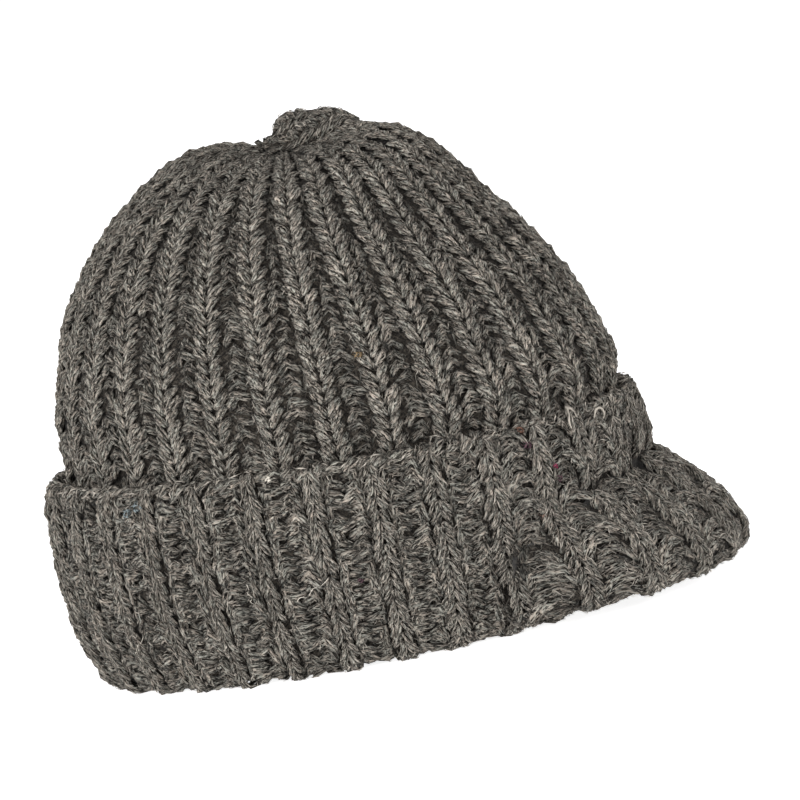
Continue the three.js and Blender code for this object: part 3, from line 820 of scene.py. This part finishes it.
def fleckMaterial(name, colour):
    # A bit of dyed wool that was spun in with the grey
    material, tree = newMaterial(name)
    fibre = addNode(tree, "ShaderNodeAttribute", {"attribute_name": "fibre"})
    drawn = addNode(tree, "ShaderNodeMapping", {"vector_type": "TEXTURE"}, {
        "Vector": fibre.outputs["Vector"], "Scale": (wool["strandLength"], wool["strandWidth"], wool["strandWidth"])})
    strands = addNode(tree, "ShaderNodeTexNoise", inputs={"Vector": drawn.outputs[0], "Scale": 1.0, "Detail": 1.0})
    ramp = addNode(tree, "ShaderNodeValToRGB", inputs={"Fac": strands.outputs["Fac"]})
    setStops(ramp, (0.4, hexToLinear(wool["dark"])), (0.55, hexToLinear(colour)))
    surface = addNode(tree, "ShaderNodeBsdfPrincipled", inputs={
        "Base Color": ramp.outputs["Color"], "Roughness": wool["roughness"], "Specular IOR Level": 0.1})
    addNode(tree, "ShaderNodeOutputMaterial", inputs={"Surface": surface.outputs[0]})
    return material


# Copies of one wool that differ only in brightness, set per region as painted light and shade: the ribs lighter; the
# cuff, peak, bunch, valleys and inside darker
ribYarn = yarnMaterial("plied wool yarn of the ribs", shade=1.05)
cuffYarn = yarnMaterial("plied wool yarn of the cuff", shade=0.82)
topYarn = yarnMaterial("plied wool yarn of the bunch", shade=0.76)
valleyYarn = yarnMaterial("plied wool yarn in the valleys", shade=0.84, deepest=-3.5)
insideYarn = yarnMaterial("plied wool yarn inside", shade=0.85)
shadedWoolGround = groundMaterial()
looseHair = hairMaterial()
knitting = stitchTree()
fluffing = hairTree()
print("materials and trees made")

# Camera: the photograph's viewing angle, turned so that the hat leans back as it does there
view = {"azimuth": 7.5, "elevation": 6, "roll": 12, "distance": 1.4, "pixelsPerMm": 2.783, "aside": (12.43, -10.49)}
a, e, r = (radians(view[k]) for k in ("azimuth", "elevation", "roll"))
back = Vector((sin(a) * cos(e), -cos(a) * cos(e), sin(e)))
right = Vector((cos(a), sin(a), 0))
up = back.cross(right)
cameraRight = right * cos(r) - up * sin(r)
cameraUp = right * sin(r) + up * cos(r)
target = Vector((0, 0, 0.092)) + cameraRight * view["aside"][0] * mm + cameraUp * view["aside"][1] * mm
cameraData = bpy.data.cameras.new("camera")
cameraData.sensor_width = 36
cameraData.lens = view["pixelsPerMm"] * 1000 * 36 * view["distance"] / 800
cameraData.clip_start, cameraData.clip_end = 0.1, 50
camera = newObject("camera", cameraData)
camera.rotation_mode = "QUATERNION"
camera.location = target + back * view["distance"]
turning = Vector((0, 0, 0)).to_track_quat("Z", "Y").to_matrix()
turning.col[0], turning.col[1], turning.col[2] = cameraRight, cameraUp, back
camera.rotation_quaternion = turning.to_quaternion()
scene.camera = camera

charts = {"crown": crownChart, "inside": insideChart, "cuff": cuffChart, "peak": peakChart, "gather": gatherChart}
for name, chart in charts.items():
    chartSurface(name + ".chart", chart)
print("charts made")


# Ground fabric under the stitches, one closed shell for each piece
def ringsMesh(name, rings, startPole=None, endPole=None, joinEnds=False):
    size = len(rings[0])
    points = [p for ring in rings for p in ring]
    faces = []

    def strip(low, high):
        for k in range(size):
            after = (k + 1) % size
            faces.append((low + k, low + after, high + after, high + k))

    for ring in range(len(rings) - 1):
        strip(ring * size, (ring + 1) * size)
    last = (len(rings) - 1) * size
    if joinEnds:
        strip(last, 0)
    if startPole:
        points.append(startPole)
        faces.extend((len(points) - 1, (k + 1) % size, k) for k in range(size))
    if endPole:
        points.append(endPole)
        faces.extend((len(points) - 1, last + k, last + (k + 1) % size) for k in range(size))
    mesh = newMesh(name, points, faces)
    mesh.shade_smooth()
    mesh.materials.append(shadedWoolGround)
    return newObject(name, mesh)


def middleOf(ring):
    return sum(ring, Vector()) / len(ring)


def offsetPoint(chart, i, j, depth):
    return chart["points"][i][j] - chart["outward"][i * (chart["steps"][1] + 1) + j] * depth * mm


def ribShare(column, phase, half=0.34):  # 1 in the middle of a rib, 0 in the valley beside it
    off = abs((column - phase + 0.5) % 1 - 0.5)
    return 1 - smoothStep(off, half - 0.14, half)


def groundDepth(i, j):  # shallower toward the top, where the ribs close up
    pitch = realPitch(crownChart, i / 4 - 1, j / 2) / mm
    return min(mix(4.4, 3.2, ribShare(i / 4 - 1, 0.5)), 2.4 + pitch * 0.16)


def crownGround():
    columns = range(4, 132)  # four steps to a rib, columns 0 to 32
    rings = []
    for j in range(2, 104, 2):
        rings.append([offsetPoint(crownChart, i, j, groundDepth(i, j)) for i in columns])
    inner = [[offsetPoint(crownChart, i, j, 5.6) for i in columns] for j in range(98, 1, -4)]
    inner.reverse()
    top = crownChart["points"][4][108]
    lowest = [[Vector((p.x, p.y, max(p.z, 4 * mm))) for p in ring] for ring in (rings[0], inner[0])]
    rings[0], inner[0] = lowest
    return ringsMesh("crown_ground", list(reversed(inner)) + rings,
                     top - Vector((0, 0, 5.8 * mm)), top - Vector((0, 0, 3.8 * mm)))


def cuffGround():
    columns = range(4, 132)
    outer = [[offsetPoint(cuffChart, i, j, mix(2.2, 1.2, ribShare(i / 4 - 1, 0))) for i in columns]
             for j in range(4, 98, 3)]
    inner = [[offsetPoint(cuffChart, i, j, 3.4) for i in columns] for j in range(97, 4, -4)]
    return ringsMesh("cuff_ground", outer + inner, joinEnds=True)


def peakGround():
    across = peakChart["steps"][0]
    sections = []
    for i in range(1, across):
        column = mix(*peakChart["columns"], i / across)
        if abs(column) > 5.15:
            continue
        topRow = peakRows(column) - 0.8
        low, high = gridPlace(peakChart, column, -7.5)[1], gridPlace(peakChart, column, topRow)[1]
        sections.append([offsetPoint(peakChart, i, round(mix(low, high, k / 24)),
                                     mix(3.4, 2.4, ribShare(column, 0))) for k in range(25)])
    return ringsMesh("peak_ground", sections, middleOf(sections[0]), middleOf(sections[-1]))


def peakRows(column):  # rows from the peak's edge up to its crease
    angle = clamp(column * ribAngle, -peak["halfAngle"], peak["halfAngle"])
    outline = [Vector((out, height, 0)) for out, height in peakOutline(angle)[1:7]]
    return lineLength(outline) / (peakChart["row"] / mm)


def gatherGround():
    rings = [[offsetPoint(gatherChart, i, j, 1.2) for i in range(6, 36)] for j in range(2, 44, 2)]
    return ringsMesh("gather_ground", rings, middleOf(rings[0]), middleOf(rings[-1]))


grounds = {"crown": crownGround(), "cuff": cuffGround(), "peak": peakGround(), "top_gather": gatherGround()}
print("ground fabric made")

# Stitches
def stitchKinds(name, shape, rings):
    kinds = bpy.data.collections.new("kinds." + name)
    for k in range(ply["kinds"]):
        kind = stitchObject("stitch.%s.%d" % (name, k), shape(100 + k), sides=3, rings=rings)
        scene.collection.objects.unlink(kind)
        kinds.objects.link(kind)
    return kinds


fibres = {  # single fibres on each yarn, and the share of them that lies in any direction
    "plain": (7, 0.25), "turned": (8, 0.25), "purl": (5, 0.55), "arch": (16, 0.6), "edge": (8, 0.4)}
units = {}
for name, paths in stitches.items():
    close, rings = (0.2, 5) if name == "arch" else (0.0, 3)
    many, loose = fibres[name]
    units[name] = (stitchKinds(name, lambda seed: plied(paths, ply["count"], seed, close), rings),
                   stitchKinds("strands." + name, lambda seed: strands(paths, many, loose, seed), 1))
    if name in ("plain", "arch"):
        units["inside " + name] = (stitchKinds("inside." + name, lambda seed: plied(paths, 1, seed), 2),)

topFold = {29: 1.3, 30: 1.7, 31: 1.0}  # a fold of ribs beside the bunch, in mm


def crownPlaces():
    plain, purl = [], []
    for c in range(32):
        for r in range(11, 53):
            pitch = realPitch(crownChart, c + 0.5, r) / mm
            if pitch < (3.4 if c % 2 else 2.0):
                continue
            width = clamp(pitch * mix(1.08, 0.89, smoothStep(pitch, 9, 16)), 3.6, 11.4)
            shrink = realRow(crownChart, c + 0.5, r) / crownChart["row"]
            across = width / 11.6 * (crownChart["pitch"] / mm) / pitch
            sink = -0.5 - 1.2 * (c % 2) * smoothStep(9 - pitch, 0, 5)
            sink += topFold.get(c, 0) * smoothStep(r, 38, 44) * (1 - smoothStep(r, 50, 53))
            fit = (across, 1.0 / mix(1, shrink, 0.3), mix(0.65, 0.85, smoothStep(pitch, 6, 16)))
            plain.append((c + 0.5, r, sink, fit))
            valley = pitch - min(width, pitch * 0.93)
            if valley > 0.75:
                wide = (valley + 2.4) / 8.8 * (crownChart["pitch"] / mm) / pitch
                purl.append((c, r + 0.4, mix(-3.0, -1.8, smoothStep(pitch, 13, 17)), (wide, 1.08, 1)))
    return plain, purl


def cuffPlaces():
    turned, arches, loops, edge = [], [], [], []
    for c in range(32):
        for half in (0, 0.5):
            column = c + half
            angle = (column * ribAngle + pi) % (2 * pi) - pi
            for r in range(-4, 20):
                i, j = gridPlace(cuffChart, column, r)
                height = cuffChart["points"][i][j].z / mm
                kept = mix(2, 5, smoothStep(abs(angle) / peak["halfAngle"], 0.55, 0.9))
                hidden = abs(angle) < peak["halfAngle"] * 0.97 and 9 < height < creaseHeight(angle) - kept
                if hidden:
                    continue
                pitch = realPitch(cuffChart, column, r) / mm
                nominal = cuffChart["pitch"] / mm / pitch
                wide = 7.6 * mix(0.6, 1, smoothStep(cos(angle), -0.45, 0.6))  # thinner ribs round the back
                if half == 0:
                    turned.append((column, r, 0.4 + 0.5 * (1 - wide / 7.6) / 0.4, (wide / 7.8 * nominal, 1, 0.85)))
                elif cos(angle) > 0.62:
                    arches.append((column, r + 0.3, -0.6, ((pitch - wide + 2.6) / 13.6 * nominal, 1.2, 0.82)))
                else:  # two loops side by side, half a row apart
                    loop = (pitch - wide + 3.2) / 2
                    for side in (-1, 1):
                        loops.append((column + side * loop * 0.42 / pitch, r + 0.3 + side * 0.25, -0.9,
                                      (loop / 8.0 * nominal, 1.3, 0.9), side * -0.5))
        for k in range(4):
            edge.append((c + k / 4, 18.6, 0.5, (1.25, 1.1, 1)))
    return turned, arches, loops, edge


def peakPlaces():
    turned, arches = [], []
    for half in range(-11, 12):
        column = half / 2
        if abs(column) > 5.2:
            continue
        top = peakRows(column)
        for r in range(-7, 17):
            if r > top - mix(0.5, -0.8, smoothStep(abs(column), 2.8, 4.6)) or (abs(column) > 4.7 and r < -2):
                continue
            pitch = realPitch(peakChart, column, r) / mm
            nominal = peakChart["pitch"] / mm / pitch
            if half % 2 == 0:
                turned.append((column, r, 0.5, (nominal, 1, 0.85)))
            else:
                arches.append((column, r + 0.3, -0.5, ((pitch - 3.4) / 13.6 * nominal, 1.25, 0.8)))
    return turned, arches


def insidePlaces():
    plain, arches = [], []
    for c in range(32):
        for r in range(1, 38):
            pitch = realPitch(insideChart, c, r) / mm
            if pitch < 5.0:
                continue
            nominal = insideChart["pitch"] / mm / pitch
            plain.append((c, r, 0, (min(9.0, pitch * 0.6) / 9.6 * nominal, 1.1, 0.8)))
            if pitch > 8:
                arches.append((c + 0.5, r + 0.3, -0.8, ((pitch - 6) / 13.2 * nominal, 1.2, 0.8)))
    return plain, arches


def gatherPlaces():
    plain = []
    for c in range(5):
        for r in range(9):
            pitch = max(realPitch(gatherChart, c, r) / mm, 3.0)
            wide = 10.4 / 9.6 * (gatherChart["pitch"] / mm) / pitch * min(1, pitch / 9)
            plain.append((c, r, 0.1, (wide, 1, 0.9)))
    return plain


crownPlain, crownPurl = crownPlaces()
cuffTurned, cuffArches, cuffLoops, cuffEdge = cuffPlaces()
peakTurned, peakArches = peakPlaces()
insidePlain, insideArches = insidePlaces()

knits = [  # piece, chart, stitch, places, material, seed, lift in mm
    ("crown_ribs", crownChart, "plain", crownPlain, ribYarn, 11, -1.8),
    ("crown_valleys", crownChart, "purl", crownPurl, valleyYarn, 12, -1.8),
    ("crown_inside_ribs", insideChart, "inside plain", insidePlain, insideYarn, 13, 0.0),
    ("crown_inside_panels", insideChart, "inside arch", insideArches, insideYarn, 14, 0.0),
    ("cuff_ribs", cuffChart, "turned", cuffTurned, cuffYarn, 21, 0.0),
    ("cuff_panels", cuffChart, "arch", cuffArches, cuffYarn, 22, 0.0),
    ("cuff_back_panels", cuffChart, "purl", cuffLoops, cuffYarn, 24, 0.0),
    ("cuff_edge", cuffChart, "edge", cuffEdge, cuffYarn, 23, 0.0),
    ("peak_ribs", peakChart, "turned", peakTurned, cuffYarn, 31, -1.8),
    ("peak_panels", peakChart, "arch", peakArches, cuffYarn, 32, -1.8),
    ("gather_ribs", gatherChart, "plain", gatherPlaces(), topYarn, 41, -1.6),
]
unevenness = {  # random shift in mm, turn in radians and share of size, where it is more than elsewhere
    "crown_ribs": (0.32, 0.11, 0.09), "crown_valleys": (0.8, 0.38, 0.18), "cuff_ribs": (0.45, 0.15, 0.12),
    "cuff_panels": (0.75, 0.26, 0.18), "cuff_back_panels": (0.6, 0.34, 0.16), "cuff_edge": (0.8, 0.3, 0.2),
    "peak_ribs": (0.25, 0.08, 0.08), "peak_panels": (0.75, 0.26, 0.18),
}
# Strays: bits of pale and dyed wool spun in with the grey, a few curls and long hairs
strays = {
    "nep": (tangle(14, 1.0, 1.1, 0.42, 3), 3, 1),
    "tuft": (tangle(12, 1.5, 0.9, 0.2, 5), 3, 1),
    "curl": ([([(-2.0, -1.6, 0.8), (-2.4, 0.8, 2.2), (-0.4, 2.4, 2.8), (2.0, 1.6, 2.4), (2.2, -0.8, 1.2)],
               [(0.3, 0.3), (0.38, 0.38), (0.4, 0.4), (0.36, 0.36), (0.2, 0.2)])], 4, 9),
    "thread": ([([(-7.0, -1.4, 1.2), (-4.6, 0.4, 2.8), (-2.2, -0.5, 2.6), (0.4, 1.0, 2.9), (3.2, 0.5, 2.8),
                  (7.0, 2.2, 1.6)], [(0.1, 0.1)] * 6)], 3, 11),
}
strayUnits = {name: stitchObject("stitch." + name, paths, sides=sides, rings=rings)
              for name, (paths, sides, rings) in strays.items()}
flecks = {name: fleckMaterial(name + " wool fleck", colour) for name, colour in {
    "magenta": "#a03f60", "plum": "#5b454c", "rust": "#785c50", "slate": "#7c8587", "sand": "#8c785c",
    "pale": "#cfc8bc", "ash": "#a19a90"}.items()}
strayPlaces = [  # piece, kind, colour, places as column, row, height in mm, fit and turn
    ("cuff_neps", "nep", "pale", [(23.35, 18.1, 1.4, (1.2, 1.1, 1), 0.3)]),
    ("cuff_magenta", "tuft", "magenta", [(28.25, 14.75, 1.2, (0.7, 0.9, 1), 0.4)]),
    ("cuff_plum", "tuft", "plum", [(27.78, 17.0, 1.0, (1.3, 1.5, 1), 0.9), (28.3, 13.6, 0.8, (1.0, 1.3, 1), -0.5),
                                   (24.5, 8.5, 0.8, (0.9, 0.9, 1), 0.5)]),
    ("cuff_rust", "tuft", "rust", [(27.72, 18.2, 1.0, (1.2, 1.1, 1), -0.3), (27.85, 11.0, 0.9, (1.1, 1.3, 1), 1.1)]),
    ("cuff_slate", "tuft", "slate", [(20.85, 17.2, 1.2, (2.4, 1.6, 1), 0.1), (20.6, 16.8, 1.2, (2.0, 1.5, 1), 1.1)]),
    ("cuff_curls", "curl", "ash", [(28.85, 17.9, 1.0, (1.1, 1.1, 1), 0.4), (29.55, 17.6, 1.0, (1.0, 0.9, 1), -0.5)]),
    ("cuff_threads", "thread", "pale", [
        (23.75, 8.6, 2.6, (1.1, 1.1, 1), 0.35), (20.3, 5.6, 2.6, (0.8, 1.0, 1), 0.55),
        (22.75, 9.2, 2.6, (0.6, 1.0, 1), 1.4), (8.4, 9.0, 2.6, (0.9, 1.0, 1), -0.6),
        (14.6, 12.0, 2.6, (0.7, 1.0, 1), 0.8)]),
    ("crown_sand", "tuft", "sand", [(25.3, 25.0, 1.0, (1.2, 1.4, 1), 0.9)]),
    ("crown_neps", "nep", "pale", [(30.9, 43.6, 1.4, (0.7, 0.6, 0.8), 0.2)]),
]
pieces = []
for name, chart, stitch, places, material, seed, lift in knits:
    uneven = unevenness.get(name, (0.3, 0.08, 0.08))
    for kinds, ending, finish in zip(units[stitch], ("", "_strands"), (material, looseHair)):
        lay(name + ending, chart, kinds, places, finish, seed, lift, uneven)
for seed, (name, kind, colour, places) in enumerate(strayPlaces):
    kinds = bpy.data.collections.new("kinds." + name)
    kinds.objects.link(strayUnits[kind])
    chart, lift = (crownChart, -1.8) if name.startswith("crown") else (cuffChart, 0.0)
    lay(name, chart, kinds, places, flecks[colour], 60 + seed, lift, (0.0, 0.0, 0.0))
    bpy.data.collections.remove(kinds)
for node, piece in grounds.items():
    pieces.append((piece, slots[node], node))
print("stitches laid:", {piece.name: len(piece.data.polygons) for piece, slot, node in pieces})

# Loose hairs: most lie over the yarn, a few stand off it
hair = {
    "lying": {"density": 25000, "lean": 0.3, "shortest": 0.3, "longest": 0.75},
    "standing": {"density": 8600, "lean": 1.2, "shortest": 0.25, "longest": 0.65},
}
hairUnits = {
    "lying": stitchObject("stitch.lyinghair", [(
        [(-2.6, -0.3, -0.25), (-1.0, 0.25, 0.22), (1.0, 0.2, 0.28), (2.6, -0.4, -0.2)],
        [(0.14, 0.14), (0.22, 0.22), (0.20, 0.20), (0.12, 0.12)])], sides=3, rings=1),
    "standing": stitchObject("stitch.standinghair", [(
        [(0, 0, -0.3), (0.5, 0, 0.7), (1.6, 0.3, 1.3), (3.2, 0.8, 1.5)],
        [(0.11, 0.11), (0.11, 0.11), (0.10, 0.10), (0.07, 0.07)])], sides=3, rings=2),
}
hairSeeds = {"crown_ribs": 51, "crown_valleys": 57, "cuff_ribs": 52, "cuff_panels": 53, "cuff_back_panels": 58,
             "peak_ribs": 54, "peak_panels": 55, "gather_ribs": 56}
nodes = {name: chart["node"] for name, chart, *_ in knits}
for part, seed in hairSeeds.items():
    for kind, way in hair.items():
        source = bpy.data.objects[part].data.copy()
        piece = grow(part + "_" + kind + "_hairs", source, fluffing, {
            "Hair": hairUnits[kind], "Hairs a square metre": way["density"], "Lean": way["lean"],
            "Shortest": way["shortest"], "Longest": way["longest"], "Seed": seed, "Material": looseHair})
        pieces.append((piece, slots[nodes[part]], nodes[part]))
print("hairs grown:", {piece.name: len(piece.data.polygons) for piece, slot, node in pieces if "hairs" in piece.name})

# The helpers go, the pieces join the root body and the part's own nodes are hidden
collections = [kinds for group in units.values() for kinds in group]
for helper in [*(chart["surface"] for chart in charts.values()), *hairUnits.values(), *strayUnits.values(),
               *(kind for kinds in collections for kind in kinds.objects)]:
    bpy.data.objects.remove(helper)
for kinds in collections:
    bpy.data.collections.remove(kinds)
for piece, slot, node in pieces:
    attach(piece, "root")
    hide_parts(node)


# Floor and light
studio = {"around": 1.1, "overhead": 0.5, "table": 0.85, "key": 24.0, "fill": 10.0}


def floorMaterial():
    # Matt white studio paper on a light table, with the faint unevenness of its surface
    material, tree = newMaterial("matt white studio paper")
    place = addNode(tree, "ShaderNodeTexCoord")
    grain = addNode(tree, "ShaderNodeTexNoise", inputs={
        "Vector": place.outputs["Object"], "Scale": 400.0, "Detail": 2.0})
    ramp = addNode(tree, "ShaderNodeValToRGB", inputs={"Fac": grain.outputs["Fac"]})
    setStops(ramp, (0.0, hexToLinear("#f4f4f4")), (1.0, hexToLinear("#fafafa")))
    surface = addNode(tree, "ShaderNodeBsdfPrincipled", inputs={
        "Base Color": ramp.outputs["Color"], "Roughness": 0.9, "Specular IOR Level": 0.1,
        "Emission Color": (1, 1, 1, 1), "Emission Strength": studio["table"]})
    addNode(tree, "ShaderNodeOutputMaterial", inputs={"Surface": surface.outputs[0]})
    return material


floorMesh = newMesh("floor", [(8 * cos(k * pi / 32), 8 * sin(k * pi / 32), 0)
                             for k in range(64)], [tuple(range(64))])
floorMesh.materials.append(floorMaterial())
newObject("floor", floorMesh)

world = bpy.data.worlds.new("studio")
world.use_nodes = True
scene.world = world
sky = world.node_tree
sky.nodes.clear()
skyPlace = addNode(sky, "ShaderNodeTexCoord")
skyHeight = addNode(sky, "ShaderNodeSeparateXYZ", inputs={0: skyPlace.outputs["Generated"]})
skyLight = addNode(sky, "ShaderNodeMapRange", inputs={
    "Value": skyHeight.outputs[2], "From Min": 0.25, "From Max": 0.95,
    "To Min": studio["around"], "To Max": studio["overhead"]})
background = addNode(sky, "ShaderNodeBackground", inputs={"Color": (1, 1, 1, 1), "Strength": skyLight.outputs[0]})
addNode(sky, "ShaderNodeOutputWorld", inputs={"Surface": background.outputs[0]})


def softLight(name, place, size, power):
    data = bpy.data.lights.new(name, "AREA")
    data.shape = "DISK"
    data.size = size
    data.energy = power
    made = newObject(name, data)
    made.location = place
    made.rotation_mode = "QUATERNION"
    made.rotation_quaternion = (Vector(place) - Vector((0, 0, 0.09))).to_track_quat("Z", "Y")


softLight("key", (-0.9, -1.7, 0.6), 1.0, studio["key"])
softLight("fill", (1.2, -1.5, 0.6), 1.0, studio["fill"])
scene.view_settings.view_transform = "Standard"
scene.view_settings.look = "None"
scene.view_settings.exposure = 0
print("studio made")
